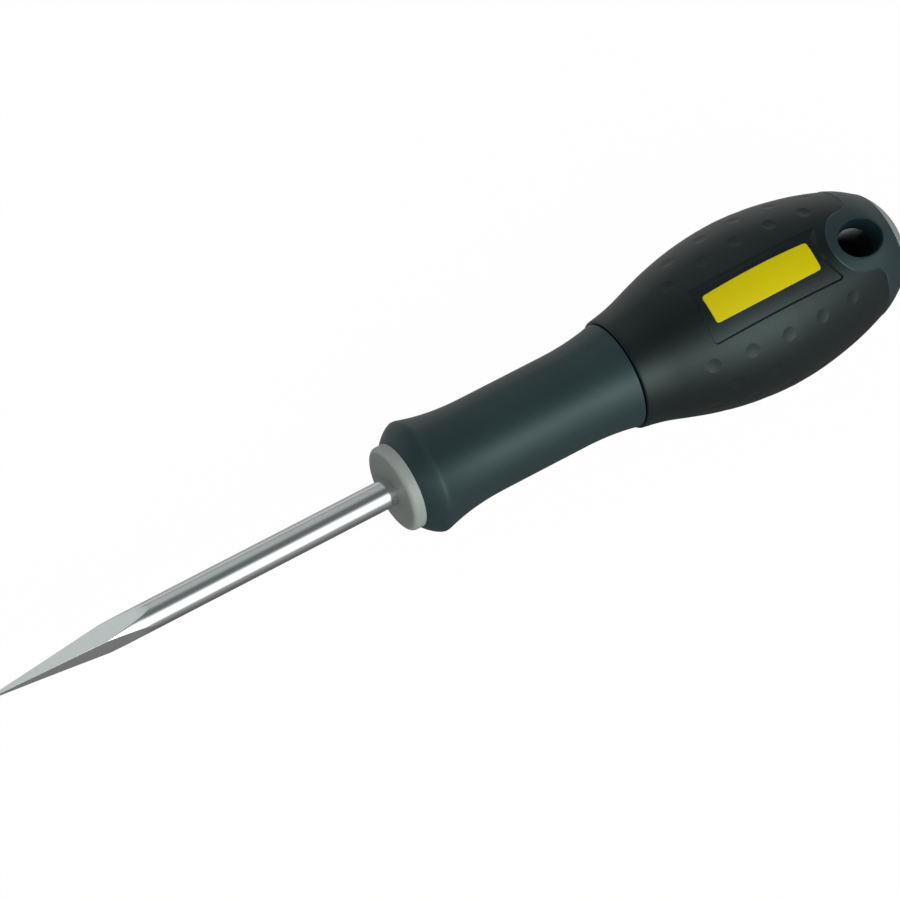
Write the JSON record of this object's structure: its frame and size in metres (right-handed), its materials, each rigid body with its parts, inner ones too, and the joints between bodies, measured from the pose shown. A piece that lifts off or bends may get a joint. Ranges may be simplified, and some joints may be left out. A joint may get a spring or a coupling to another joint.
{
  "type": "bradawl",
  "caption": "Bradawl with a round bright steel shank ground to a four-sided point, in a moulded hard and soft handle with a hanging hole.",
  "frame": {"origin": "on the tool's axis, at the front face of the collar", "axes": "+X along the axis towards the butt, +Z towards the side with the label and the hanging hole's mouth"},
  "size_m": [0.1807, 0.0312, 0.0311],
  "materials": {
    "bright_steel": "bright plated, ground flats at the point",
    "grey_plastic": "fine moulded satin",
    "teal_plastic": "satin",
    "black_soft": "soft satin with dimples",
    "yellow_label": "smooth satin"
  },
  "bodies": {
    "root": {"blade": "bright_steel", "core": "grey_plastic", "handle_shell": "teal_plastic", "soft_grip": "black_soft", "label_plate": "yellow_label"}
  },
  "joints": []
}
